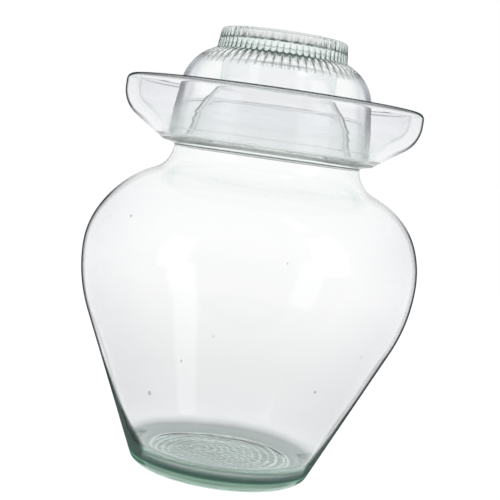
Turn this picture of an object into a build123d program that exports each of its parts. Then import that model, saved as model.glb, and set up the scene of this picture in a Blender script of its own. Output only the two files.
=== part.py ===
from build123d import *
import os
from math import acos, atan2, cos, degrees, hypot, radians, sin, sqrt, tan

# Glass fermenting jar with a water channel round its mouth and a loose glass lid.
# Millimetres, +Z up, origin at the centre of the foot.

# Body, outside
foot_radius = 60.0
heel_round = 9.0
punt_radius = 52.0
punt_rise = 3.0
belly_radius = 125.0
belly_height = 157.0
lower_bulge = 118.0
shoulder_rise = 82.0
shoulder_bulge_share = 0.765
neck_radius = 69.5

# Body, glass
wall = 2.0
heel_wall = 3.5
floor_height = 11.5
floor_round = 21.0

# Water channel, a hollow ring of folded glass pinched shut at the waist
channel_radius = 110.5
channel_rise = 46.5
channel_wall = 1.8
fold_width = 9.5
outer_bend = 24.0
inner_bend = 16.0
pinch_depth = 4.2
keel_run = 1.0
keel_rise = 2.4
step_rise = 9.0
step_run = 3.0
step_round = 3.0

# Mouth, standing inside the channel
mouth_radius = 43.0
mouth_rise = 63.0
mouth_wall = 2.9
cone_foot_radius = 65.5
cone_top_radius = 52.0
cone_rise = 33.3
tube_foot_rise = 44.3
cone_bend = 20.0
tube_bend = 4.0

# Lid
lid_radius = 76.0
rim_wall = 3.7
headroom = 4.5
crown_wall = 4.4
dome_reach = 37.5
dome_bend = 33.7
shoulder_wall = 7.7
bowl_spread = 22.2
web = 9.5
collar_radius = 48.6
collar_top_radius = 46.8
collar_round = 2.5
recess_radius = 38.6
recess_depth = 8.2
recess_round = 2.0

# Flutes round the collar and over the lid's shoulder
flute_count = 66
flute_radius = 2.2
flute_depth = 0.9
flute_reach = 63.5

# Levels where the jar's one piece of glass is divided into its zones
foot_collar = 8.5
belly_band = 90.0
channel_sill = 2.8

# Fits, and one overrun for every cut
lid_side_gap = 1.4
seat_gap = 0.2
rim_round_share = 0.4
overrun = 1.0

# Levels that several pieces share
waist_height = belly_height + shoulder_rise
channel_floor = waist_height + pinch_depth
channel_top = waist_height + channel_rise
mouth_top = channel_floor + mouth_rise
lid_bottom = channel_floor + seat_gap
lid_ceiling = mouth_top + headroom
recess_floor = lid_ceiling + web
collar_top = recess_floor + recess_depth


def tangent_turn(across, along, reach):
    """Degrees that an arc turns from upright before a line leaves it for a point.

    across and along lead from the arc's centre to the point. Where the line goes on to
    touch a second arc, they lead to that arc's centre, and reach is the first radius
    less the second.
    """
    return degrees(atan2(along, across) - acos(reach / hypot(across, along)))


def lower_side(inset, end_radius, end_height, end_round):
    """Belly arc, taper line and bottom round, from the widest level down to the foot."""
    side_radius = lower_bulge - inset
    turn = tangent_turn(
        end_radius - (belly_radius - lower_bulge),
        belly_height - end_height - end_round,
        side_radius - end_round,
    )
    side = JernArc((belly_radius - inset, belly_height), (0, -1), side_radius, -turn)
    bottom = JernArc((end_radius, end_height), (1, 0), end_round, 90 - turn)
    Line(side @ 1, bottom @ 1)
    return turn


def shoulder_side(inset):
    """Shoulder arc and the neck's hollow arc, from the widest level up to the waist."""
    run = belly_radius - neck_radius
    both_radii = (run**2 + shoulder_rise**2) / (2 * run)
    shoulder_bulge = both_radii * shoulder_bulge_share
    turn = degrees(acos(1 - run / both_radii))
    bulge = JernArc((belly_radius - inset, belly_height), (0, 1), shoulder_bulge - inset, turn)
    JernArc(bulge @ 1, bulge % 1, both_radii - shoulder_bulge + inset, -turn)


# The jar's glass: half of its upright section, then one turn about the axis
seat_radius = lid_radius + lid_side_gap
fold_round = fold_width / 2
fold_level = channel_top - fold_round
bend_level = fold_level - fold_round
inner_radius = channel_radius - fold_width
keel = (seat_radius + keel_run, waist_height + keel_rise)
step_top = (seat_radius + step_run, channel_floor + step_rise)

with BuildPart() as glass:
    with BuildSketch(Plane.XZ) as section:
        # Foot, belly, shoulder and neck, filled to the axis
        with BuildLine():
            lean = lower_side(0, foot_radius, 0, heel_round)
            shoulder_side(0)
            Polyline((neck_radius, waist_height), (0, waist_height), (0, punt_rise))
            TangentArc((0, punt_rise), (punt_radius, 0), tangent=(1, 0))
            Line((punt_radius, 0), (foot_radius, 0))
        make_face()

        # Cone and tube of the mouth, and the pinched glass under the channel's floor
        with BuildLine():
            FilletPolyline(
                (cone_foot_radius, channel_floor),
                (cone_top_radius, channel_floor + cone_rise),
                (mouth_radius, channel_floor + tube_foot_rise),
                (mouth_radius, mouth_top),
                radius=[cone_bend, tube_bend],
            )
            Polyline(
                (mouth_radius, mouth_top),
                (0, mouth_top),
                (0, waist_height),
                (neck_radius, waist_height),
                keel,
                (seat_radius, channel_floor),
                (cone_foot_radius, channel_floor),
            )
        make_face()

        # Outer bowl of the channel, from the fold's top down to the keel
        with BuildLine():
            JernArc((channel_radius, fold_level), (0, 1), fold_round, 90)
            side = Line((channel_radius, fold_level), (channel_radius, bend_level))
            turn = tangent_turn(
                keel[0] - (channel_radius - outer_bend), bend_level - keel[1], outer_bend
            )
            bend = JernArc(side @ 1, (0, -1), outer_bend, -turn)
            Line(bend @ 1, keel)
            offset(amount=channel_wall, side=Side.LEFT)
        make_face()

        # Inner bowl, from the fold's top down to the seat that the lid stands on
        with BuildLine():
            JernArc((inner_radius, fold_level), (0, 1), fold_round, -90)
            side = Line((inner_radius, fold_level), (inner_radius, bend_level))
            turn = tangent_turn(
                step_top[0] - (inner_radius - inner_bend), bend_level - step_top[1], inner_bend
            )
            bend = JernArc(side @ 1, (0, -1), inner_bend, -turn)
            FilletPolyline(
                bend @ 1,
                step_top,
                (seat_radius, channel_floor),
                (cone_foot_radius, channel_floor),
                radius=[step_round, step_round],
            )
            offset(amount=channel_wall, side=Side.RIGHT)
        make_face()

        # Inside of the jar, open at the mouth
        floor_level = floor_height + floor_round
        heel_reach = foot_radius + (floor_level - heel_round) * tan(radians(lean))
        floor_edge = heel_reach - heel_wall - (floor_round - heel_round) / cos(radians(lean))
        with BuildLine():
            lower_side(wall, floor_edge, floor_height, floor_round)
            shoulder_side(wall)
            Polyline(
                (neck_radius - wall, waist_height),
                (cone_foot_radius - mouth_wall, channel_floor),
            )
            FilletPolyline(
                (cone_foot_radius - mouth_wall, channel_floor),
                (cone_top_radius - mouth_wall, channel_floor + cone_rise),
                (mouth_radius - mouth_wall, channel_floor + tube_foot_rise),
                (mouth_radius - mouth_wall, mouth_top + overrun),
                radius=[cone_bend, tube_bend],
            )
            Polyline(
                (mouth_radius - mouth_wall, mouth_top + overrun),
                (0, mouth_top + overrun),
                (0, floor_height),
                (floor_edge, floor_height),
            )
        make_face(mode=Mode.SUBTRACT)
    revolve(axis=Axis.Z)
    lip = glass.edges().group_by(Axis.Z)[-1]
    fillet(lip, mouth_wall * rim_round_share)

# Zones of that glass, which meet face to face at level planes
foot_level = floor_height + foot_collar
taper_level = belly_height - belly_band / 2
shoulder_level = belly_height + belly_band / 2
sill_level = channel_floor + channel_sill
between_walls = (cone_foot_radius + seat_radius) / 2

with BuildPart() as foot:
    add(glass.part)
    split(bisect_by=Plane.XY.offset(foot_level), keep=Keep.BOTTOM)

with BuildPart() as taper:
    add(glass.part)
    split(bisect_by=Plane.XY.offset(foot_level), keep=Keep.TOP)
    split(bisect_by=Plane.XY.offset(taper_level), keep=Keep.BOTTOM)

with BuildPart() as belly:
    add(glass.part)
    split(bisect_by=Plane.XY.offset(taper_level), keep=Keep.TOP)
    split(bisect_by=Plane.XY.offset(shoulder_level), keep=Keep.BOTTOM)

with BuildPart() as shoulder:
    add(glass.part)
    split(bisect_by=Plane.XY.offset(shoulder_level), keep=Keep.TOP)
    split(bisect_by=Plane.XY.offset(sill_level), keep=Keep.BOTTOM)

with BuildPart() as channel:
    add(glass.part)
    split(bisect_by=Plane.XY.offset(sill_level), keep=Keep.TOP)
    with BuildSketch(Plane.XY.offset(sill_level)):
        Circle(between_walls)
    extrude(amount=mouth_rise, mode=Mode.SUBTRACT)

with BuildPart() as mouth:
    add(glass.part)
    split(bisect_by=Plane.XY.offset(sill_level), keep=Keep.TOP)
    with BuildSketch(Plane.XY.offset(sill_level)):
        Circle(between_walls)
    extrude(amount=mouth_rise, mode=Mode.INTERSECT)

# Cutters for one flute: a straight one up the collar, and a curved one over the shoulder
dome_top = lid_ceiling + crown_wall
dome_level = dome_top - dome_bend
collar_foot = dome_level + sqrt(dome_bend**2 - (collar_radius - dome_reach) ** 2)
collar_lean = collar_radius - collar_top_radius
collar_rise = collar_top - collar_foot
flute_stand_off = flute_radius - flute_depth

with BuildPart() as collar_flute:
    flute_foot = Plane(
        origin=(collar_radius + flute_stand_off, 0, collar_foot - flute_depth),
        z_dir=(-collar_lean, 0, collar_rise),
    )
    with BuildSketch(flute_foot):
        Circle(flute_radius)
    extrude(amount=hypot(collar_lean, collar_rise) + flute_depth + overrun)

with BuildPart() as dome_flute:
    start_angle = acos((collar_radius - flute_depth - dome_reach) / dome_bend)
    end_angle = acos((flute_reach - dome_reach) / dome_bend)
    path_radius = dome_bend + flute_stand_off
    flute_start = Plane(
        origin=(
            dome_reach + path_radius * cos(start_angle),
            0,
            dome_level + path_radius * sin(start_angle),
        ),
        z_dir=(sin(start_angle), 0, -cos(start_angle)),
    )
    with BuildSketch(flute_start):
        Circle(flute_radius)
    revolve(
        axis=Axis((dome_reach, 0, dome_level), (0, 1, 0)),
        revolution_arc=degrees(start_angle - end_angle),
    )

# Lid: a pressed bowl turned over, with a recessed collar as its grip
with BuildPart() as lid:
    with BuildSketch(Plane.XZ) as lid_section:
        # Dome and skirt, filled to the axis
        with BuildLine():
            turn = tangent_turn(lid_radius - dome_reach, dome_level - lid_bottom, dome_bend)
            dome = JernArc((dome_reach, dome_top), (1, 0), dome_bend, -90 - turn)
            Polyline(
                dome @ 1,
                (lid_radius, lid_bottom),
                (0, lid_bottom),
                (0, dome_top),
                (dome_reach, dome_top),
            )
        make_face()

        # Collar with the recess in its top
        with BuildLine():
            FilletPolyline(
                (collar_radius, collar_foot),
                (collar_top_radius, collar_top),
                (recess_radius, collar_top),
                (recess_radius, recess_floor),
                (0, recess_floor),
                radius=[collar_round, recess_round, recess_round],
            )
            Polyline(
                (0, recess_floor),
                (0, lid_ceiling),
                (recess_radius, lid_ceiling),
                (collar_radius, collar_foot),
            )
        make_face()

        # Inside of the bowl
        with BuildLine():
            FilletPolyline(
                (lid_radius - rim_wall, lid_bottom),
                (dome_reach + bowl_spread, lid_ceiling),
                (0, lid_ceiling),
                radius=dome_bend - shoulder_wall,
            )
            Polyline((0, lid_ceiling), (0, lid_bottom), (lid_radius - rim_wall, lid_bottom))
        make_face(mode=Mode.SUBTRACT)
    revolve(axis=Axis.Z)
    fillet(lid.edges().group_by(Axis.Z)[0], rim_wall * rim_round_share)
    with PolarLocations(0, flute_count):
        add(collar_flute.part, mode=Mode.SUBTRACT)
        add(dome_flute.part, mode=Mode.SUBTRACT)

os.makedirs("parts", exist_ok=True)
foot.part.label = "foot"
export_step(foot.part, "parts/foot.step")
taper.part.label = "taper"
export_step(taper.part, "parts/taper.step")
belly.part.label = "belly"
export_step(belly.part, "parts/belly.step")
shoulder.part.label = "shoulder"
export_step(shoulder.part, "parts/shoulder.step")
channel.part.label = "channel"
export_step(channel.part, "parts/channel.step")
mouth.part.label = "mouth"
export_step(mouth.part, "parts/mouth.step")
lid.part.label = "lid"
export_step(lid.part, "parts/lid.step")
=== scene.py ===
from math import acos, atan2, cos, degrees, hypot, pi, radians, sin, tan

import bpy
import numpy as np
from mathutils import Matrix, Vector


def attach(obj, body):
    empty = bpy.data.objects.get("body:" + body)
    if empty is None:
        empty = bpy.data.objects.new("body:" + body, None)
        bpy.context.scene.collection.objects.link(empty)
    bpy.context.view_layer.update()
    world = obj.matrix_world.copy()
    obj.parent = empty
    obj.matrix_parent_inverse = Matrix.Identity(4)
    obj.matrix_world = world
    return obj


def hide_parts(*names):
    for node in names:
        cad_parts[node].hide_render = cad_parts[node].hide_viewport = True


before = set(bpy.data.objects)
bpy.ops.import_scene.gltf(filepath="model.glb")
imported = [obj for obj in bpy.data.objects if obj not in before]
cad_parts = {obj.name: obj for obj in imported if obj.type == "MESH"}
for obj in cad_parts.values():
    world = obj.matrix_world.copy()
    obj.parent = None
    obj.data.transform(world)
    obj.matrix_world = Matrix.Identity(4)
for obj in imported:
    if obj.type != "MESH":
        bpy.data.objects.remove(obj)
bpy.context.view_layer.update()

# Sizes are in millimetres until a mesh is made
MM = 0.001

# Jar, outside: the belly's two arcs, the neck and the foot
foot_radius = 60.0
heel_round = 9.0
punt_radius = 52.0
punt_rise = 3.0
belly_radius = 125.0
belly_height = 157.0
lower_bulge = 118.0
shoulder_rise = 82.0
shoulder_bulge_share = 0.765
neck_radius = 69.5

# Jar, glass
wall = 2.0
heel_wall = 3.5
floor_height = 11.5
floor_round = 21.0

# Channel round the mouth
channel_radius = 110.5
channel_rise = 46.5
channel_wall = 1.8
fold_width = 9.5
outer_bend = 24.0
inner_bend = 16.0
pinch_depth = 4.2
keel_run = 1.0
keel_rise = 2.4
corner_round = 1.4
pocket_round = 0.7
step_rise = 9.0
step_run = 3.0
step_round = 3.0

# Mouth
mouth_radius = 43.0
mouth_rise = 63.0
mouth_wall = 2.9
lip_round_share = 0.45
cone_foot_radius = 65.5
cone_top_radius = 52.0
cone_rise = 33.3
tube_foot_rise = 44.3
cone_bend = 20.0
tube_bend = 4.0

# Lid
lid_radius = 76.0
rim_wall = 3.7
headroom = 4.5
crown_wall = 4.4
dome_reach = 37.5
dome_bend = 33.7
shoulder_wall = 7.7
bowl_spread = 22.2
web = 9.5
collar_radius = 48.6
collar_top_radius = 46.8
collar_round = 2.5
recess_radius = 38.6
recess_depth = 8.2
recess_round = 2.0
rim_round = 1.48
flute_count = 66
flute_radius = 2.2
flute_depth = 0.9
flute_reach = 63.5
land_line = 0.62
lid_side_gap = 1.4
seat_gap = 0.2

# Levels
waist_height = belly_height + shoulder_rise
channel_floor = waist_height + pinch_depth
channel_top = waist_height + channel_rise
mouth_top = channel_floor + mouth_rise
lid_bottom = channel_floor + seat_gap
lid_ceiling = mouth_top + headroom
recess_floor = lid_ceiling + web
collar_top = recess_floor + recess_depth
dome_top = lid_ceiling + crown_wall
dome_level = dome_top - dome_bend
seat_radius = lid_radius + lid_side_gap
inner_radius = channel_radius - fold_width
fold_round = fold_width / 2
fold_level = channel_top - fold_round
bend_level = fold_level - fold_round

# Fineness of the meshes: steps round the axis, and the longest run between a profile's points
jar_steps = 156
steps_per_flute = 12
jar_run = 4.5
floor_run = 0.8
lid_run = 8.0
collar_run = 6.0
level_slack = 0.01

# Hand-blown form: the jar stands level on its foot, but leans and wanders a little above it
lean_share = 0.0105
rim_tilt_share = 0.0047
shoulder_drift = 2.2
shoulder_drift_height = 205.0
shoulder_drift_reach = 26.0

# Swell of the jar's inner face: (size, waves round the axis, radians per mm of height, start)
inner_waves = [
    (0.16, 2, 0.0, 0.6), (0.10, 3, 1 / 45, 0.0), (0.05, 7, -1 / 30, 0.0), (0.04, 2, 1 / 9, 0.0),
]
swell_top = waist_height - 20
swell_ease_top = 30.0
swell_ease_floor = 20.0

# Relief of the floor
ridge_radius = 52.5
ridge_width = 1.6
ridge_rise = 0.3
ring_rise = 0.06
cross_rise = 0.05
ripple_reach = 56.0
ripple_ease = 8.0

# Bubbles in the blown wall: (turn in degrees, height, half across, half high)
seeds = [
    (235, 66, 1.1, 1.7), (304, 85, 0.8, 1.1), (223, 186, 0.7, 1.0), (262, 118, 0.4, 0.6),
    (20, 92, 0.9, 1.3), (75, 150, 0.6, 0.9), (118, 60, 0.8, 1.2), (160, 175, 0.7, 0.9),
    (340, 140, 0.4, 0.7), (190, 110, 0.5, 0.8),
]
seed_half_depth = 0.45
seed_rows = 9
seed_steps = 12

# Painted highlights in the floor, as pale lines: rings as (centre, spacing, wobble, waves
# and start of the wobble, middle and twist of the spiral part of the floor that shows them)
floor_glint_rings = [
    ((-16, 7), 0.95, 0.9, 2, 0.0, 2.6, 21),
    ((13, -9), 0.8, 0.7, 3, 1.0, -0.3, -17),
]
# Painted shade of the floor, and a ring of painted highlight by its ridge
floor_shade_grey = 0.46
rim_ring_radius = 52.8
rim_ring_width = 0.7

# Painted shade of the jar, as (heights, values): the dark edge's strength and how soon it comes,
# and the shade where the surface turns away. The heel's edge comes less soon towards the right.
body_edge = ([0, 4, 45, 60, 195, 214, 236, 243], [0.5, 0.94, 0.94, 1, 1, 0.25, 0.15, 0.05])
bowl_edge = ([243, 250, 262], [0.0, 0.2, 1.0])
mouth_edge = ([246, 252, 275, 285], [0.0, 0.8, 0.8, 0.6])
heel_sooner = ([2, 6, 22, 48, 80], [0.05, 0.32, 0.32, 0.1, 0.0])
heel_right_loss = 0.28
# Bands of painted shade round the heel, outside and inside
heel_shade_rings = ([5.2, 5.8, 6.7, 7.3, 8.3, 8.9, 9.9, 10.5, 16, 19],
              [0, 0.85, 0.85, 0.7, 0.7, 0.95, 0.95, 0.85, 0.8, 0])
heel_inside_shade = ([13, 15.5, 18, 20.5], [0.5, 0.5, 0.2, 0])
body_shade = ([0, 15, 45, 190, 212, 243], [0.2, 0.3, 1, 1, 0.3, 0.4])
mouth_shade = 0.6
crest_sooner = ([channel_top - 4, channel_top - 1], [0.0, 0.1])
mouth_sooner = 0.07

# Painted shade lines round the jar: (place on the profile, strength, reach), the brow at 60
# degrees up the fold
waist_line = ((neck_radius, waist_height), 0.75, 0.8)
brow_line = ((channel_radius - fold_round / 2, fold_level + fold_round * 0.87), 0.97, 1.75)
keel_line = ((seat_radius + keel_run, waist_height + keel_rise), 0.5, 0.8)
# The punt's share of a pale pane that rays pass straight through, painted light over it
punt_light_share = 0.6

# Painted shade of the lid, as (heights, values): the dark edge's strength and how soon it comes,
# the lines on the lands, and the shade where the surface turns away
lid_edge = ([245, 249, 270, 285, 300, 308, 313, 324, 327],
            [0.45, 1, 1, 0.8, 0.5, 0.6, 1, 1, 0.2])
lid_sooner = ([243, 270, 285, 300, 308, 312, 318, 322, 327],
              [0.12, 0.08, 0.07, 0.07, 0.03, 0.24, 0.22, 0.12, 0.05])
land_shade_by_height = ([300, 307, 312, 318, 320.5], [0.95, 0.95, 0.7, 0.4, 0.0])
lid_shade = ([300, 308, 318], [1, 0.5, 0.8])
recess_floor_edge = 0.15
inside_edge_share = 0.25
inside_shade_share = 0.6
# Painted shade lines round the lid's rim and, dashed, round the recess's lower corner
rim_line = ((lid_radius - 0.4, lid_bottom), 0.6, 1.0)
recess_line_reach = 2.6
dash_count = 29
dash_depth = 0.28

# Share of the flutes' full depth, as (radii or heights, shares)
depth_by_radius = ([55, 61.5], [1, 0.1])
depth_by_height = ([317, 322], [1, 0.3])

# Strength of the lands' painted shade lines towards the flutes' lower end, as (radii, shares)
land_shade_by_radius = ([flute_reach - 4, flute_reach], [1, 0.4])


def arc(centre, radius, start, end, rows):
    """Profile points centre + radius * (cosine, sine) of even angles from start to end, in
    degrees."""
    turn = np.radians(np.linspace(start, end, rows))
    return np.column_stack([centre[0] + radius * np.cos(turn), centre[1] + radius * np.sin(turn)])


def rounded(corners, radii, rows):
    """Straight runs between corners, with a tangent arc in each inner corner: its centre lies on
    the corner's bisector, radius / sin(half the angle) from it."""
    corners = [np.array(c, float) for c in corners]
    points = [corners[0][None]]
    for before, corner, after, radius in zip(corners, corners[1:], corners[2:], radii):
        one = (before - corner) / np.linalg.norm(before - corner)
        other = (after - corner) / np.linalg.norm(after - corner)
        half = acos(float(one @ other)) / 2
        centre = corner + (one + other) / np.linalg.norm(one + other) * radius / sin(half)
        start = corner + one * radius / tan(half) - centre
        end = corner + other * radius / tan(half) - centre
        first = degrees(atan2(start[1], start[0]))
        turn = (degrees(atan2(end[1], end[0])) - first + 180) % 360 - 180
        points.append(arc(centre, radius, first, first + turn, rows))
    return np.vstack(points + [corners[-1][None]])


def chain(*stretches):
    """Stretches of profile end to end, without the points that two of them share."""
    line = np.vstack(stretches)
    apart = np.hypot(*np.diff(line, axis=0).T) > 1e-6
    return line[np.concatenate([[True], apart])]


def closer(line, spacing):
    """The same profile with points added on its long runs, so that none is longer than spacing."""
    length = np.concatenate([[0], np.cumsum(np.hypot(*np.diff(line, axis=0).T))])
    stations = [np.linspace(a, b, int(np.ceil((b - a) / spacing)) + 1)[:-1]
                for a, b in zip(length, length[1:])]
    at = np.concatenate(stations + [length[-1:]])
    return np.column_stack([np.interp(at, length, line[:, 0]), np.interp(at, length, line[:, 1])])


def eased(line, radius, sharp=18.0):
    """The profile with each corner that turns by more than sharp degrees rounded off to the radius,
    or to what its shorter side leaves room for."""
    points = [line[:1]]
    for before, corner, after in zip(line, line[1:], line[2:]):
        one, other = before - corner, after - corner
        room = 0.45 * min(np.linalg.norm(one), np.linalg.norm(other))
        one, other = one / np.linalg.norm(one), other / np.linalg.norm(other)
        half = acos(max(-1.0, min(1.0, float(one @ other)))) / 2
        if 180 - degrees(2 * half) < sharp:
            points.append(corner[None])
            continue
        fits = min(radius, room * tan(half))
        bend = rounded([corner + one, corner, corner + other], [fits], rows=6)
        points.append(bend[1:-1])
    return np.vstack(points + [line[-1:]])


def left_hand(line):
    """Unit vectors to the left of the profile's way, one for each point."""
    along = np.gradient(line, axis=0)
    along /= np.linalg.norm(along, axis=1)[:, None]
    return np.column_stack([-along[:, 1], along[:, 0]])


def aside(line, distance):
    """The profile moved sideways: each point goes distance along the line's left-hand normal."""
    return line + distance * left_hand(line)


def crossing(a, b, c, d):
    """Where the line through a and b meets the line through c and d."""
    share = np.linalg.solve(np.column_stack([b - a, c - d]), c - a)[0]
    return a + share * (b - a)


def tangent_turn(across, along, reach):
    """Degrees that an arc turns from upright before it meets a line to a point or a second arc."""
    return degrees(atan2(along, across) - acos(reach / hypot(across, along)))


def lower_side(inset, end_radius, end_height, end_round, rows):
    """Belly arc, taper line and bottom round, from the bottom up to the widest level, and the
    degrees that the taper leans."""
    side = lower_bulge - inset
    turn = tangent_turn(
        end_radius - (belly_radius - lower_bulge), belly_height - end_height - end_round,
        side - end_round,
    )
    bottom = arc((end_radius, end_height + end_round), end_round, -90, -turn, 2 * rows)
    belly = arc((belly_radius - lower_bulge, belly_height), side, -turn, 0, 2 * rows)
    return chain(bottom, belly), turn


def shoulder_side(inset, rows):
    """Shoulder arc and the neck's hollow arc, from the widest level up to the waist."""
    run = belly_radius - neck_radius
    both = (run**2 + shoulder_rise**2) / (2 * run)
    bulge = both * shoulder_bulge_share
    turn = degrees(acos(1 - run / both))
    centre = np.array([belly_radius - bulge, belly_height])
    hollow = centre + both * np.array([cos(radians(turn)), sin(radians(turn))])
    return chain(
        arc(centre, bulge - inset, 0, turn, rows),
        arc(hollow, both - bulge + inset, 180 + turn, 180, rows // 2),
    )


def channel_sides():
    """Outside of the channel from the keel up to the fold's crest, and its inside from there down
    to the seat."""
    keel = np.array([seat_radius + keel_run, waist_height + keel_rise])
    turn = tangent_turn(
        keel[0] - (channel_radius - outer_bend), bend_level - keel[1], outer_bend
    )
    outside = chain(
        keel[None],
        arc((channel_radius - outer_bend, bend_level), outer_bend, -turn, 0, rows=16),
        arc((channel_radius - fold_round, fold_level), fold_round, 0, 90, rows=10),
    )
    step_top = np.array([seat_radius + step_run, channel_floor + step_rise])
    turn = tangent_turn(
        step_top[0] - (inner_radius - inner_bend), bend_level - step_top[1], inner_bend
    )
    bend = arc((inner_radius - inner_bend, bend_level), inner_bend, 0, -turn, rows=14)
    inside = chain(
        arc((inner_radius + fold_round, fold_level), fold_round, 90, 180, rows=10),
        bend,
        rounded(
            [bend[-1], step_top, (seat_radius, channel_floor), (cone_foot_radius, channel_floor)],
            [step_round, step_round], rows=7,
        ),
    )
    return outside, inside


def mouth_side(inset, rows):
    """Cone and tube of the mouth, from the channel's floor up to the lip."""
    return rounded(
        [
            (cone_foot_radius - inset, channel_floor),
            (cone_top_radius - inset, channel_floor + cone_rise),
            (mouth_radius - inset, channel_floor + tube_foot_rise),
            (mouth_radius - inset, mouth_top),
        ],
        [cone_bend, tube_bend], rows,
    )


def arc_through_punt():
    """Shallow push-up under the foot: a circle level at the axis that comes down to the flat
    ring."""
    radius = (punt_radius**2 + punt_rise**2) / (2 * punt_rise)
    half = degrees(acos((radius - punt_rise) / radius))
    return arc((0, punt_rise - radius), radius, 90, 90 - half, rows=12)


def jar_profiles():
    """Two profiles of the jar's glass: its whole skin, from the foot's centre up the outside, over
    the fold and the lip and down the inside to the floor's centre, and the sealed hollow of the
    folded channel."""
    below = chain([(0, punt_rise)], arc_through_punt())
    outside, angle = lower_side(0, foot_radius, 0, heel_round, rows=12)
    bowl_outside, bowl_inside = channel_sides()
    lip_round = mouth_wall * lip_round_share
    lip = rounded(
        [
            (mouth_radius, mouth_top - mouth_wall),
            (mouth_radius, mouth_top),
            (mouth_radius - mouth_wall, mouth_top),
            (mouth_radius - mouth_wall, mouth_top - mouth_wall),
        ],
        [lip_round, lip_round], rows=6,
    )
    level = floor_height + floor_round
    lean = radians(angle)
    heel_reach = foot_radius + (level - heel_round) * tan(lean)
    floor_edge = heel_reach - heel_wall - (floor_round - heel_round) / cos(lean)
    inside = lower_side(wall, floor_edge, floor_height, floor_round, rows=12)[0]
    skin = chain(
        below, outside, shoulder_side(0, rows=26),
        bowl_outside, bowl_inside,
        mouth_side(0, rows=8)[:-1], lip, mouth_side(mouth_wall, rows=8)[-2::-1],
        shoulder_side(wall, rows=26)[::-1], inside[::-1],
        [(0, floor_height)],
    )
    skin = closer(eased(skin, corner_round), jar_run)
    second_half = np.arange(len(skin)) > len(skin) / 2
    on_floor = (skin[:, 1] < floor_height + level_slack) & second_half
    skin = chain(skin[~on_floor], closer(skin[on_floor], floor_run))
    outer = aside(bowl_outside, channel_wall)
    inner = aside(bowl_inside[:-1], channel_wall)
    low = int(np.argmax(inner[:, 1] < channel_floor + step_rise / 2))
    apex = crossing(outer[0], outer[1], inner[low], inner[low - 1])
    middle = (apex + outer[1]) / 2
    hollow = chain(middle[None], apex[None], inner[:low][::-1], outer[1:][::-1], middle[None])
    return skin, closer(eased(hollow, pocket_round), jar_run)


def lid_profile():
    """The lid's whole skin, from the middle of its ceiling down the inside, round the rim, up the
    outside and over the collar to the middle of the recess."""
    turn = tangent_turn(lid_radius - dome_reach, dome_level - lid_bottom, dome_bend)
    foot_angle = degrees(acos((collar_radius - dome_reach) / dome_bend))
    collar_foot = dome_level + dome_bend * sin(radians(foot_angle))
    inside = rounded(
        [
            (0, lid_ceiling),
            (dome_reach + bowl_spread, lid_ceiling),
            (lid_radius - rim_wall, lid_bottom),
            (lid_radius, lid_bottom),
            (lid_radius - 1, lid_bottom + 9),
        ],
        [dome_bend - shoulder_wall, rim_round, rim_round], rows=9,
    )
    dome = arc((dome_reach, dome_level), dome_bend, -turn, foot_angle, rows=26)
    return chain(
        closer(inside[:-1], lid_run),
        closer(dome, lid_run),
        closer(rounded(
            [
                (collar_radius, collar_foot),
                (collar_top_radius, collar_top),
                (recess_radius, collar_top),
                (recess_radius, recess_floor),
                (0, recess_floor),
            ],
            [collar_round, recess_round, recess_round], rows=7,
        ), collar_run),
    )


def as_blown(points):
    """Moves points as the glass was blown: x grows with height (the lean) and with a soft hump at
    the shoulder, exp(-(distance / reach) squared), and the upper rings tilt up to the right."""
    out = points.copy()
    height = points[:, 2]
    hump = np.exp(-(((height - shoulder_drift_height) / shoulder_drift_reach) ** 2))
    out[:, 0] += lean_share * height + shoulder_drift * hump
    out[:, 2] += rim_tilt_share * points[:, 0] * np.clip(height / waist_height, 0, 1)
    return out


def carried_round(line, steps):
    """Every profile point carried round the axis: an array of rows by steps by (radius, angle,
    height)."""
    angle = np.linspace(0, 2 * pi, steps, endpoint=False)
    radius, turn = np.meshgrid(line[:, 0], angle, indexing="ij")
    height = np.repeat(line[:, 1][:, None], steps, axis=1)
    return radius, turn, height


def skin_faces(rows, steps, first, start_pole, end_pole, closed):
    """Vertex numbers of the grid's quads, and of the fans at its poles, facing outwards when the
    profile goes up the outside."""
    row = np.arange(rows if closed else rows - 1)
    i, j = np.meshgrid(row, np.arange(steps), indexing="ij")
    up, on = (i + 1) % rows, (j + 1) % steps
    quads = np.stack([i * steps + j, i * steps + on, up * steps + on, up * steps + j], axis=-1)
    quads = quads.reshape(-1, 4) + first
    ring = np.arange(steps)
    fans = []
    if start_pole is not None:
        fans.append(np.column_stack([np.full(steps, start_pole), first + (ring + 1) % steps,
                                     first + ring]))
    if end_pole is not None:
        last = first + (rows - 1) * steps
        fans.append(np.column_stack([np.full(steps, end_pole), last + ring,
                                     last + (ring + 1) % steps]))
    return quads, fans


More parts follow.
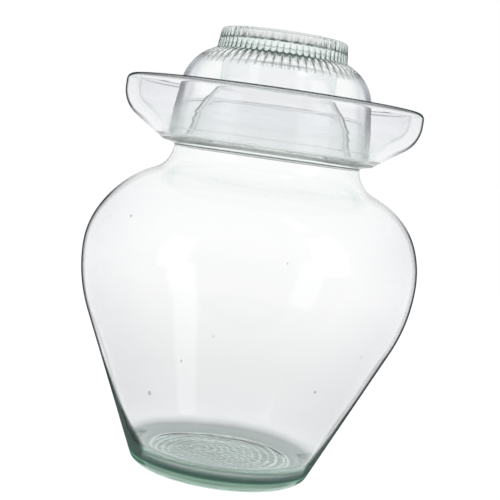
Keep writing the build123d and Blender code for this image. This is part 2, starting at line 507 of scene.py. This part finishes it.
def glass_piece(name, grids):
    """One mesh from grids of points. Each grid is (points of rows by steps by 3, its edge values of
    rows by steps by 5, start pole, end pole, closed)."""
    vertices, edges, quads, triangles, count = [], [], [], [], 0
    for points, edge, start, end, closed in grids:
        rows, steps = points.shape[:2]
        first = count
        vertices.append(points.reshape(-1, 3))
        edges.append(edge.reshape(-1, 5))
        count += rows * steps
        numbers = []
        for pole in (start, end):
            numbers.append(None if pole is None else count)
            if pole is not None:
                vertices.append(np.array(pole, float)[None])
                edges.append(np.zeros((1, 5)))
                count += 1
        square, fans = skin_faces(rows, steps, first, *numbers, closed)
        quads.append(square)
        triangles += fans
    vertices = as_blown(np.vstack(vertices)) * MM
    quads = np.vstack(quads)
    triangles = np.vstack(triangles) if triangles else np.zeros((0, 3), int)
    mesh = bpy.data.meshes.new(name)
    mesh.vertices.add(len(vertices))
    mesh.vertices.foreach_set("co", vertices.astype(np.float32).ravel())
    mesh.loops.add(quads.size + triangles.size)
    mesh.loops.foreach_set("vertex_index", np.concatenate([quads.ravel(), triangles.ravel()]))
    mesh.polygons.add(len(quads) + len(triangles))
    starts = np.concatenate([
        np.arange(len(quads)) * 4, quads.size + np.arange(len(triangles)) * 3
    ])
    mesh.polygons.foreach_set("loop_start", starts)
    mesh.polygons.foreach_set("use_smooth", np.ones(len(starts), bool))
    mesh.update(calc_edges=True)
    edges = np.vstack(edges).astype(np.float32)
    edge = mesh.attributes.new("edge", "FLOAT_COLOR", "POINT")
    edge.data.foreach_set("color", edges[:, :4].ravel())
    shade = mesh.attributes.new("shade", "FLOAT", "POINT")
    shade.data.foreach_set("value", edges[:, 4].ravel())
    mesh.validate()
    piece = bpy.data.objects.new(name, mesh)
    bpy.context.collection.objects.link(piece)
    return piece


def xyz(radius, angle, height):
    """Points from radius, angle and height: x = r cos a, y = r sin a."""
    return np.stack([radius * np.cos(angle), radius * np.sin(angle), height], axis=-1)


def near(line, corner, reach):
    """1 at the profile's points near a corner, falling to 0 at the reach from it."""
    return np.clip(1.5 - 1.5 * np.hypot(*(line - np.array(corner)).T) / reach, 0, 1)


def floor_tone(reach, turn):
    """Painted shade of the floor, a grey, with painted highlights in it as pale lines: sets of
    rings about centres off the axis, each cos(distance / spacing + wobble) in its own spiral part
    of the floor, a weave of crossing waves, and a ring by the floor's ridge."""
    x, y = reach * np.cos(turn), reach * np.sin(turn)
    weave = np.cos(x / 1.3 + 1.7 * np.sin(y / 3.1)) * np.cos(y / 0.9 + 1.4 * np.sin(x / 2.7))
    glint_lines = [0.9 * weave]
    for (east, north), spacing, wobble, waves, start, middle, twist in floor_glint_rings:
        wander = wobble * np.sin(waves * turn + start)
        rings = np.cos(np.hypot(x - east, y - north) / spacing + wander)
        glint_lines.append(rings * np.clip(0.5 + 0.8 * np.cos(turn - middle + reach / twist), 0, 1))
    lines = np.clip((np.max(glint_lines, axis=0) - 0.3) / 0.4, 0, 1)
    rim = np.exp(-(((reach - rim_ring_radius) / rim_ring_width) ** 2))
    return floor_shade_grey * (1 - np.maximum(0.9 * lines, rim))


def jar_edges(line, angle):
    """Values of the jar's points, rows by steps by 5: strength of the painted dark edge, the share
    by which it comes sooner, bands of painted shade (with painted highlights on the floor), lines
    of painted shade and strength of the painted shade where the surface turns away. The painted
    edge is faint at the neck, narrow on the channel's crest, and wide on the thick heel, more so at
    the left, where the heel is thickest."""
    radius, height = line.T
    row = np.arange(len(line))
    crest = int(np.argmax(radius * (height > channel_top - 1)))
    outside = row <= crest
    bowl = (radius > seat_radius - 2) & (height > channel_floor - 0.5)
    mouth = (radius < cone_foot_radius + 0.5) & (height > channel_floor + 0.5)

    strength = np.interp(height, *body_edge)
    strength = np.where(bowl, np.interp(height, *bowl_edge), strength)
    strength = np.where(mouth, np.interp(height, *mouth_edge), strength)
    left = 1 - heel_right_loss * (1 + np.cos(angle))
    sooner = outside * np.interp(height, *heel_sooner)
    crown = bowl * np.interp(height, *crest_sooner) + mouth_sooner * mouth

    # Bands of painted shade round the heel, and the floor's painted shade and highlights
    behind = np.interp(height, *heel_inside_shade) * (height < waist_height)
    shade_bands = np.where(outside, np.interp(height, *heel_shade_rings), behind)
    shade_bands = shade_bands[:, None] * np.ones_like(angle)
    floor = ~outside & (height < floor_height + level_slack)
    shade_bands[floor] = floor_tone(radius[floor][:, None], angle[floor])

    # Painted shade lines at the waist, the brow and the keel, and painted light over the punt
    drawn = np.max([
        share * near(line, corner, reach)
        for corner, share, reach in (waist_line, brow_line, keel_line)
    ], axis=0)
    punt = (row < crest) & (radius < punt_radius) & (height < punt_rise + level_slack)
    drawn = np.where(punt, punt_light_share, drawn)
    shade = np.where(bowl, 1.0, np.where(mouth, mouth_shade, np.interp(height, *body_shade)))
    whole = np.ones_like(angle)
    return np.stack([
        strength[:, None] * whole, sooner[:, None] * left + crown[:, None], shade_bands,
        drawn[:, None] * whole, shade[:, None] * whole,
    ], axis=-1)


def seed(radius, turn, height, across, high):
    """A bubble in the glass: an ellipsoid, its half sizes seed_half_depth through the wall, across
    round the axis and high along it, facing inwards. turn is in degrees."""
    down, around = np.meshgrid(
        np.linspace(0, pi, seed_rows)[1:-1],
        np.linspace(0, 2 * pi, seed_steps, endpoint=False), indexing="ij",
    )
    out = seed_half_depth * np.sin(down) * np.cos(around)
    side = across * np.sin(down) * np.sin(around)
    east, north = cos(radians(turn)), sin(radians(turn))
    points = np.stack([
        (radius + out) * east - side * north, (radius + out) * north + side * east,
        height + high * np.cos(down),
    ], axis=-1)
    top, bottom = ((radius * east, radius * north, height + end * high) for end in (1, -1))
    return points, np.zeros((*points.shape[:2], 5)), top, bottom, False


def floor_ripples(radius, angle):
    """Rise of the floor: rings that wander, cos(radius / 1.3 + wobble), and crossing waves, both
    fading out at the ridge, and the ridge itself, exp(-(distance / width) squared)."""
    x, y = radius * np.cos(angle), radius * np.sin(angle)
    rings = np.cos(radius / 1.3 + 1.6 * np.sin(2 * angle + 0.5) + 1.1 * np.sin(5 * angle))
    rings = rings * np.clip(radius / 40, 0.2, 1)
    cross = np.cos(x / 2.3 + 1.5 * np.sin(y / 6)) * np.cos(y / 2.1 + 1.3 * np.sin(x / 5))
    fade = np.clip((ripple_reach - radius) / ripple_ease, 0, 1)
    ridge = np.exp(-(((radius - ridge_radius) / ridge_width) ** 2))
    return fade * (ring_rise * rings + cross_rise * cross) + ridge_rise * ridge


def blown_jar():
    """The jar's skin, its channel's sealed hollow and its bubbles. The inner face swells and thins
    by slow waves, size * cos(waves * angle + rise * height + start), and the floor has ripples."""
    skin, hollow = jar_profiles()
    body = skin[1:-1]
    radius, angle, height = carried_round(body, jar_steps)
    inner = np.arange(len(body)) >= np.argmax(skin[:, 1])
    below_neck = np.clip((swell_top - body[:, 1]) / swell_ease_top, 0, 1) * inner
    above_floor = np.clip((body[:, 1] - floor_height) / swell_ease_floor, 0, 1)
    radius = radius + (below_neck * above_floor)[:, None] * sum(
        size * np.cos(waves * angle + rise * height + start)
        for size, waves, rise, start in inner_waves
    )
    on_floor = inner[:, None] & (height < floor_height + level_slack)
    height = height + on_floor * floor_ripples(radius, angle)
    edge = jar_edges(body, angle)
    grids = [(xyz(radius, angle, height), edge, (0, 0, skin[0, 1]), (0, 0, skin[-1, 1]), False)]
    sealed = xyz(*carried_round(hollow[:-1], jar_steps))
    grids.append((sealed, np.zeros((*sealed.shape[:2], 5)), None, None, True))
    outside = skin[:int(np.argmax(skin[:, 1] > waist_height - 1))]
    for turn, level, across, high in seeds:
        middle = np.interp(level, outside[:, 1], outside[:, 0]) - wall / 2
        grids.append(seed(middle, turn, level, across, high))
    return glass_piece("jar_glass", grids)


def lid_flutes(body, radius, angle):
    """Depth of the flutes and strength of the painted shade lines on the lands between them, at
    each point of the lid. A flute is cut to sqrt(R squared - t squared - p squared) - (R - depth)
    at the distance t from its middle line and p past the start of its round lower end. A land's
    painted shade is exp(-(distance / land_line) squared), fainter towards that end."""
    reach, level = body.T
    outside = np.arange(len(body)) > np.argmin(level)
    lower_end = dome_level + np.sqrt(dome_bend**2 - (flute_reach - dome_reach) ** 2)
    grip = outside & (reach > collar_top_radius - 1) & (level > lower_end - 3)
    past = np.clip(reach - (flute_reach - flute_radius), 0, None)
    pitch = 2 * pi / flute_count
    across = (np.mod(angle + pitch / 2, pitch) - pitch / 2) * radius
    room = flute_radius**2 - across**2 - past[:, None] ** 2
    cut = flute_depth * np.interp(reach, *depth_by_radius) * np.interp(level, *depth_by_height)
    depth = np.sqrt(np.clip(room, 0, None)) - (flute_radius - cut[:, None])
    depth = np.clip(depth, 0, None) * grip[:, None]
    from_land = pitch / 2 * radius - np.abs(across)
    land_shade = np.exp(-((from_land / land_line) ** 2)) * grip[:, None]
    return depth, land_shade * np.interp(reach, *land_shade_by_radius)[:, None]


def lid_edges(body, angle, land_shade):
    """Values of the lid's points, in the order of jar_edges. The outer face has the full painted
    dark edge, the inner face and the recess's floor hardly any. A dashed line of painted shade goes
    round the recess's lower corner and a fainter one round the rim, and the lands get lines of
    painted shade."""
    reach, level = body.T
    outside = np.arange(len(body)) > np.argmin(level)
    recess_wall = (reach < recess_radius + 0.5) & (level > recess_floor)
    recess_middle = outside & (reach < recess_radius - 2 * recess_round)
    strength = np.where(recess_wall, 1.0, np.interp(level, *lid_edge))
    strength = np.where(recess_middle, recess_floor_edge, strength)
    strength = strength * np.where(outside, 1.0, inside_edge_share)
    # The recess's painted shade line is dashed
    wave = np.cos(dash_count * angle + 2 * np.sin(3 * angle))
    dashes = 1 - dash_depth * (1 - wave)
    corner, share, rim_reach = rim_line
    drawn = dashes * near(body, (recess_radius, recess_floor), recess_line_reach)[:, None]
    drawn = drawn + share * near(body, corner, rim_reach)[:, None]
    shade = np.interp(level, *lid_shade) * np.where(outside, 1.0, inside_shade_share)
    whole = np.ones_like(angle)
    return np.stack([
        strength[:, None] * whole, np.interp(level, *lid_sooner)[:, None] * whole,
        land_shade * np.interp(level, *land_shade_by_height)[:, None], drawn, shade[:, None] * whole,
    ], axis=-1)


def pressed_lid():
    """The lid's skin, with its flutes cut square to the profile."""
    line = lid_profile()
    body = line[1:-1]
    radius, angle, height = carried_round(body, flute_count * steps_per_flute)
    depth, land_shade = lid_flutes(body, radius, angle)
    inward = left_hand(body)
    points = xyz(radius + depth * inward[:, :1], angle, height + depth * inward[:, 1:])
    edge = lid_edges(body, angle, land_shade)
    grids = [(points, edge, (0, 0, line[0, 1]), (0, 0, line[-1, 1]), False)]
    return glass_piece("lid_glass", grids)


def wired(tree, kind, **values):
    """A new shader node with its inputs set by name or number, and linked where the value is a
    socket."""
    node = tree.nodes.new(kind)
    for key, value in values.items():
        socket = node.inputs[int(key)] if key.isdigit() else node.inputs[key.replace("_", " ")]
        if isinstance(value, bpy.types.NodeSocket):
            tree.links.new(value, socket)
        else:
            socket.default_value = value
    return node


def maths(tree, operation, *values):
    """The result socket of a Math node."""
    node = wired(tree, "ShaderNodeMath", **{str(i): value for i, value in enumerate(values)})
    node.operation = operation
    return node.outputs[0]


def blended(tree, factor, under, over, way="MIX"):
    """The colour socket of a Mix node for colours."""
    node = tree.nodes.new("ShaderNodeMix")
    node.data_type = "RGBA"
    node.blend_type = way
    for number, value in ((0, factor), (6, under), (7, over)):
        if isinstance(value, bpy.types.NodeSocket):
            tree.links.new(value, node.inputs[number])
        else:
            node.inputs[number].default_value = value
    return node.outputs[2]


def mixed(tree, factor, one, other):
    """The shader socket of a Mix Shader node: one at factor 0, the other at 1."""
    return wired(tree, "ShaderNodeMixShader", **{"0": factor, "1": one, "2": other}).outputs[0]


def colour_ramp(tree, factor, stops):
    """The colour socket of a ramp with stops of (place, colour or grey)."""
    ramp = wired(tree, "ShaderNodeValToRGB", Fac=factor)
    points = ramp.color_ramp.elements
    while len(points) < len(stops):
        points.new(0.5)
    for point, (place, colour) in zip(points, stops):
        point.position = place
    for point, (place, colour) in zip(points, stops):
        point.color = (*(colour if isinstance(colour, tuple) else (colour,) * 3), 1)
    return ramp.outputs["Color"]


def held(tree, name):
    """An Attribute node for a value that the mesh holds."""
    node = tree.nodes.new("ShaderNodeAttribute")
    node.attribute_name = name
    return node


def emptied(block, kind):
    """The node tree of a new material or world with nothing but its output, and that output."""
    block.use_nodes = True
    block.node_tree.nodes.clear()
    return block.node_tree, block.node_tree.nodes.new(kind)


def socketed(group, way, kind, name, default=None):
    """A named socket of a node group."""
    socket = group.interface.new_socket(name, in_out=way, socket_type=kind)
    if default is not None:
        socket.default_value = default


def ripple_group():
    """Marks of blowing and pressing in a glass surface: slow waves, drawn out along the height by
    Stretch, for a bump, and a mask of thin wandering lines, which the glass uses for painted
    highlights."""
    group = bpy.data.node_groups.new("glass_ripples", "ShaderNodeTree")
    socketed(group, "INPUT", "NodeSocketVector", "Place")
    socketed(group, "INPUT", "NodeSocketFloat", "Wave Scale", 30.0)
    socketed(group, "INPUT", "NodeSocketFloat", "Stretch", 0.4)
    socketed(group, "INPUT", "NodeSocketFloat", "Line Scale", 60.0)
    socketed(group, "OUTPUT", "NodeSocketFloat", "Height")
    socketed(group, "OUTPUT", "NodeSocketFloat", "Lines")
    taken = group.nodes.new("NodeGroupInput").outputs
    given = group.nodes.new("NodeGroupOutput").inputs
    drawn = wired(group, "ShaderNodeCombineXYZ", X=1.0, Y=1.0, Z=taken["Stretch"])
    place = wired(group, "ShaderNodeVectorMath", **{"0": taken["Place"], "1": drawn.outputs[0]})
    place.operation = "MULTIPLY"
    waves = wired(group, "ShaderNodeTexNoise", Vector=place.outputs[0],
                  Scale=taken["Wave Scale"], Detail=2.0, Roughness=0.45)
    group.links.new(waves.outputs["Fac"], given["Height"])
    bands = wired(group, "ShaderNodeTexWave", Vector=taken["Place"], Scale=taken["Line Scale"],
                  Distortion=9.0, Detail=3.0, Detail_Scale=1.6)
    bands.wave_type = "RINGS"
    bands.rings_direction = "Z"
    thin = wired(group, "ShaderNodeMapRange", Value=bands.outputs["Fac"],
                 From_Min=0.86, From_Max=1.0)
    patches = wired(group, "ShaderNodeTexNoise", Vector=taken["Place"], Scale=38.0, Detail=1.0)
    where = wired(group, "ShaderNodeMapRange", Value=patches.outputs["Fac"],
                  From_Min=0.42, From_Max=0.62)
    lines = maths(group, "MULTIPLY", thin.outputs["Result"], where.outputs["Result"])
    group.links.new(lines, given["Lines"])
    return group


ripples = ripple_group()


def glass(name, clear, turned_shade_ramp, edge_shade_ramp, edge_shade_colour, by_height, waves, depth, absorb, density):
    """Clear glass: a dielectric with absorption by depth. Where the surface turns away its colour
    darkens, a painted shade, as strongly as the shade attribute says. Past that a thin pane, dark
    in the colours given by height, takes over and draws the dark edge, also a painted shade. The
    edge attribute gives the pane's strength (red), how much sooner it comes (green), bands of
    painted shade that front faces show (blue) and lines of painted shade that both faces show
    (alpha). Lamp light passes all faces as through a clear pane, and so does a ray that came in
    through a pane and goes out, or one that glass has mirrored and that comes in. by_height gives
    rows of (height, colour of the glass with its painted shade, share of pale lines of painted
    highlight in it)."""
    material = bpy.data.materials.new(name)
    tree, output = emptied(material, "ShaderNodeOutputMaterial")
    facing = wired(tree, "ShaderNodeLayerWeight", Blend=0.5).outputs["Facing"]
    place = tree.nodes.new("ShaderNodeTexCoord").outputs["Object"]
    height = wired(tree, "ShaderNodeSeparateXYZ", Vector=place).outputs["Z"]
    level = maths(tree, "DIVIDE", height, collar_top * MM)

    body = colour_ramp(tree, level, [(row[0] / collar_top, row[1]) for row in by_height])
    share = colour_ramp(tree, level, [(row[0] / collar_top, row[2]) for row in by_height])
    marks = tree.nodes.new("ShaderNodeGroup")
    marks.node_tree = ripples
    tree.links.new(place, marks.inputs["Place"])
    for key, value in waves.items():
        marks.inputs[key].default_value = value
    # Painted highlights: pale lines in the glass's colour, where by_height gives them a share
    glint_lines = maths(tree, "MULTIPLY", marks.outputs["Lines"], share)
    with_glints = blended(tree, glint_lines, body, (1, 1, 1, 1))
    # Painted shade: the glass's colour darkens where the surface turns away, as strongly as the
    # shade attribute says
    shade = held(tree, "shade").outputs["Fac"]
    colour = blended(tree, shade, with_glints, colour_ramp(tree, facing, turned_shade_ramp), "MULTIPLY")
    bump = wired(tree, "ShaderNodeBump", Strength=depth, Distance=0.0006,
                 Height=marks.outputs["Height"])
    shader = wired(
        tree, "ShaderNodeBsdfPrincipled", Base_Color=colour,
        Roughness=0.0, IOR=1.52, Transmission_Weight=1.0, Normal=bump.outputs[0],
    )

    # Painted shade: the dark edge, the bands and the lines are a thin dark pane that takes over
    # from the glass
    edge = held(tree, "edge").outputs
    parts = wired(tree, "ShaderNodeSeparateColor", Color=edge["Color"]).outputs
    back = tree.nodes.new("ShaderNodeNewGeometry").outputs["Backfacing"]
    front = maths(tree, "SUBTRACT", 1.0, back)
    dark = colour_ramp(tree, maths(tree, "ADD", facing, parts["Green"]), edge_shade_ramp)
    dark = maths(tree, "MULTIPLY", dark, parts["Red"])
    dark = maths(tree, "MULTIPLY", maths(tree, "MAXIMUM", dark, parts["Blue"]), front)
    dark = maths(tree, "MAXIMUM", dark, edge["Alpha"])

    light = tree.nodes.new("ShaderNodeLightPath").outputs
    lamp_light = maths(tree, "MAXIMUM", light["Is Shadow Ray"], light["Is Diffuse Ray"])
    came_straight = maths(tree, "MODULO", light["Transparent Depth"], 2.0)
    mirrored = maths(tree, "GREATER_THAN", light["Glossy Depth"], 0.5)
    unbent = maths(tree, "ADD", maths(tree, "MULTIPLY", came_straight, back),
                   maths(tree, "MULTIPLY", mirrored, front))
    clear_pane = maths(tree, "MAXIMUM", lamp_light, unbent)
    edge_shade_tone = colour_ramp(tree, level, [(z / collar_top, shown) for z, shown in edge_shade_colour])
    pane = wired(tree, "ShaderNodeBsdfTransparent",
                 Color=blended(tree, clear_pane, edge_shade_tone, (*clear, 1)))
    through = maths(tree, "MAXIMUM", clear_pane, dark)
    surface = mixed(tree, through, shader.outputs[0], pane.outputs[0])
    tree.links.new(surface, output.inputs["Surface"])
    volume = wired(tree, "ShaderNodeVolumeAbsorption", Color=(*absorb, 1), Density=density)
    tree.links.new(volume.outputs[0], output.inputs["Volume"])
    return material


def straight_on(tree):
    """1 for rays that come from the camera, also through glass, and 0 once glass has mirrored
    them."""
    light = tree.nodes.new("ShaderNodeLightPath").outputs
    clear = maths(tree, "MAXIMUM", light["Is Camera Ray"], light["Is Transmission Ray"])
    unturned = maths(tree, "LESS_THAN", light["Glossy Depth"], 0.5)
    return maths(tree, "MULTIPLY", clear, unturned)


def flat_piece(name, corners, material):
    """A linked four-cornered face."""
    mesh = bpy.data.meshes.new(name)
    mesh.from_pydata([tuple(corner) for corner in corners], [], [(0, 1, 2, 3)])
    mesh.materials.append(material)
    piece = bpy.data.objects.new(name, mesh)
    bpy.context.collection.objects.link(piece)
    return piece


def window_card(name, turn, distance, low, high, width, light):
    """A soft white card that only mirrored rays see. Its glow falls off to its borders as the
    product of two smooth steps. turn is in degrees from the front."""
    material = bpy.data.materials.new(name)
    tree, output = emptied(material, "ShaderNodeOutputMaterial")
    place = tree.nodes.new("ShaderNodeUVMap")
    parts = wired(tree, "ShaderNodeSeparateXYZ", Vector=place.outputs[0])
    steps = []
    for axis, soft in (("X", 0.22), ("Y", 0.12)):
        middle = maths(tree, "ABSOLUTE", maths(tree, "SUBTRACT", parts.outputs[axis], 0.5))
        step = wired(tree, "ShaderNodeMapRange", Value=middle, From_Min=0.5, From_Max=0.5 - soft)
        step.interpolation_type = "SMOOTHSTEP"
        steps.append(step.outputs[0])
    clear = tree.nodes.new("ShaderNodeBsdfTransparent")
    lit = wired(tree, "ShaderNodeEmission", Strength=light)
    surface = mixed(tree, maths(tree, "MULTIPLY", *steps), clear.outputs[0], lit.outputs[0])
    tree.links.new(surface, output.inputs["Surface"])
    across = Vector((cos(radians(turn)), sin(radians(turn)), 0))
    middle = Vector((sin(radians(turn)), -cos(radians(turn)), 0)) * distance
    corners = [middle + across * side * width / 2 + Vector((0, 0, z))
               for side, z in ((-1, low), (1, low), (1, high), (-1, high))]
    card = flat_piece(name, corners, material)
    flat = card.data.uv_layers.new(name="flat")
    flat.data.foreach_set("uv", [0, 0, 1, 0, 1, 1, 0, 1])
    card.visible_camera = False
    card.visible_diffuse = False
    card.visible_transmission = False
    card.visible_shadow = False


def room():
    """White backdrop. Rays that glass has mirrored see the room instead, a little darker at eye
    level than above."""
    world = bpy.data.worlds.new("studio")
    bpy.context.scene.world = world
    tree, output = emptied(world, "ShaderNodeOutputWorld")
    towards = wired(tree, "ShaderNodeSeparateXYZ",
                    Vector=tree.nodes.new("ShaderNodeTexCoord").outputs["Object"])
    walls = colour_ramp(tree, towards.outputs["Z"], [
        (0.0, (0.97, 0.97, 0.975)), (0.1, (0.94, 0.94, 0.95)), (0.24, (0.91, 0.91, 0.925)),
        (0.45, (0.98, 0.98, 0.98)), (0.6, (1.03, 1.03, 1.03)),
    ])
    around = wired(tree, "ShaderNodeBackground", Color=walls, Strength=1.0)
    beyond = colour_ramp(tree, towards.outputs["Z"], [(0.14, 1.0), (0.4, 0.4)])
    backdrop = wired(tree, "ShaderNodeBackground", Color=beyond, Strength=1.0)
    surface = mixed(tree, straight_on(tree), around.outputs[0], backdrop.outputs[0])
    tree.links.new(surface, output.inputs["Surface"])


def pale_floor():
    """Wide floor that glows nearly white and still takes the jar's shadow."""
    reach = 40.0
    drop = 0.0003
    material = bpy.data.materials.new("pale_floor")
    tree, output = emptied(material, "ShaderNodeOutputMaterial")
    diffuse = wired(tree, "ShaderNodeBsdfDiffuse", Color=(0.1, 0.1, 0.1, 1))
    glow = wired(tree, "ShaderNodeEmission", Color=(1, 1, 1, 1), Strength=0.915)
    both = wired(tree, "ShaderNodeAddShader", **{"0": diffuse.outputs[0], "1": glow.outputs[0]})
    tree.links.new(both.outputs[0], output.inputs["Surface"])
    sides = [(-reach, -reach), (reach, -reach), (reach, reach), (-reach, reach)]
    floor = flat_piece("floor", [(x, y, -drop) for x, y in sides], material)


def softbox(name, place, size, power):
    """A broad lamp turned to the middle of the jar, unseen by mirrored and refracted rays."""
    data = bpy.data.lights.new(name, "AREA")
    data.shape = "RECTANGLE"
    data.size, data.size_y = size
    data.energy = power
    lamp = bpy.data.objects.new(name, data)
    lamp.location = place
    lamp.visible_glossy = False
    lamp.visible_transmission = False
    target = Vector((0, 0, 0.17))
    lamp.rotation_euler = (target - Vector(place)).to_track_quat("-Z", "Y").to_euler()
    bpy.context.collection.objects.link(lamp)


def camera():
    """The photograph's view: a long lens a little above the shoulder, turned so that the jar
    leans."""
    lens_pixels = 1200.0
    frame_pixels = 500.0
    sensor = 36.0
    distance = 0.897
    height = 0.2461
    aside_by = 0.0006
    down = 5.0
    roll = 8.4
    data = bpy.data.cameras.new("camera")
    data.sensor_width = sensor
    data.lens = sensor * lens_pixels / frame_pixels
    eye = bpy.data.objects.new("camera", data)
    eye.matrix_world = (
        Matrix.Translation((aside_by, -distance, height))
        @ Matrix.Rotation(radians(90 - down), 4, "X")
        @ Matrix.Rotation(radians(roll), 4, "Z")
    )
    bpy.context.collection.objects.link(eye)
    bpy.context.scene.camera = eye


# Painted greens of the thick heel's edge, from below upwards: painted light where light comes
# through the foot, then painted shade in the bands above it
heel_light_green = (0.74, 0.84, 0.8)
heel_shade_green = (0.04, 0.13, 0.08)
ring_shade_green = (0.18, 0.32, 0.24)

jar = blown_jar()
jar.data.materials.append(glass(
    "blown_glass",
    clear=(0.97, 0.98, 0.975),
    # Painted shade where the glass turns away, and the colours of its painted dark edge by height
    turned_shade_ramp=[(0.0, 1.0), (0.22, 1.0), (0.5, (0.94, 0.935, 0.955)), (0.66, (0.885, 0.878, 0.912)),
          (0.78, (0.85, 0.843, 0.89))],
    edge_shade_ramp=[(0.81, 0.0), (0.87, 0.85), (0.91, 1.0)],
    edge_shade_colour=[
        (0, heel_light_green), (3.2, heel_light_green), (4.4, heel_shade_green), (6.6, heel_shade_green),
        (7.6, ring_shade_green), (8.2, ring_shade_green), (9.2, (0.03, 0.09, 0.065)),
        (11, (0.045, 0.08, 0.075)), (34, (0.05, 0.08, 0.07)), (60, (0.03, 0.045, 0.042)),
        (80, (0.03, 0.033, 0.045)), (286, (0.04, 0.055, 0.055)), (290, (0.8, 0.9, 0.85)),
    ],
    # Colour of the glass by height: greens at the foot, and greys lower on the belly, at the floor
    # and on the channel that are painted shade; the floor's pale lines are painted highlights
    by_height=[
        (0, (0.86, 0.98, 0.92), 0.0), (8, (0.84, 0.94, 0.9), 0.0), (12, (0.66, 0.71, 0.7), 1.0),
        (14, (0.895, 0.91, 0.915), 0.0), (22, (0.905, 0.908, 0.92), 0.0),
        (34, (0.87, 0.87, 0.88), 0.0), (60, (0.86, 0.858, 0.865), 0.0),
        (115, (0.925, 0.923, 0.925), 0.0), (150, (0.98, 0.977, 0.979), 0.0), (200, 0.99, 0.0),
        (240, 0.99, 0.0), (262, (0.967, 0.962, 0.973), 0.0),
    ],
    waves={"Wave Scale": 26.0, "Stretch": 0.35, "Line Scale": 22.0}, depth=0.12,
    absorb=(0.6, 0.75, 0.673), density=14,
))
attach(jar, "jar")
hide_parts("foot", "taper", "belly", "shoulder", "channel", "mouth")

lid = pressed_lid()
lid.data.materials.append(glass(
    "pressed_glass",
    clear=(0.97, 0.98, 0.975),
    # Painted shade where the glass turns away, and the colours of its painted dark edge by height
    turned_shade_ramp=[(0.0, 1.0), (0.42, 0.99), (0.62, (0.91, 0.915, 0.945)), (0.8, (0.7, 0.71, 0.78))],
    edge_shade_ramp=[(0.58, 0.0), (0.66, 0.08), (0.72, 0.4), (0.77, 0.9), (0.81, 1.0)],
    edge_shade_colour=[
        (243, (0.05, 0.054, 0.085)), (275, (0.09, 0.095, 0.13)), (299, (0.2, 0.21, 0.26)),
        (304, (0.05, 0.075, 0.075)), (328, (0.08, 0.12, 0.105)),
    ],
    by_height=[(243, 0.995, 0.0), (328, 0.995, 0.0)],
    waves={"Wave Scale": 60.0, "Stretch": 1.0, "Line Scale": 40.0}, depth=0.04,
    absorb=(0.7, 0.82, 0.78), density=6,
))
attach(lid, "lid")
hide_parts("lid")

room()
pale_floor()
window_card("left_card", turn=-50.0, distance=1.5, low=0.02, high=1.15, width=0.75, light=2.1)
window_card("right_card", turn=55.0, distance=1.5, low=0.3, high=1.9, width=0.85, light=2.6)
window_card("high_card", turn=45.0, distance=1.5, low=2.2, high=5.5, width=0.6, light=2.6)
softbox("left_softbox", place=(-1.1, -0.9, 0.75), size=(0.5, 1.0), power=9.0)
softbox("right_softbox", place=(1.4, -0.2, 0.7), size=(0.4, 0.9), power=9.0)
softbox("top_softbox", place=(0.0, 0.2, 1.6), size=(1.2, 0.8), power=9.0)
camera()

bpy.context.scene.view_settings.view_transform = "Standard"
# A look through the channel, the lid and the mouth passes sixteen faces of glass
bpy.context.scene.cycles.max_bounces = 40
bpy.context.scene.cycles.transmission_bounces = 32
bpy.context.scene.cycles.glossy_bounces = 12
bpy.context.scene.cycles.transparent_max_bounces = 24
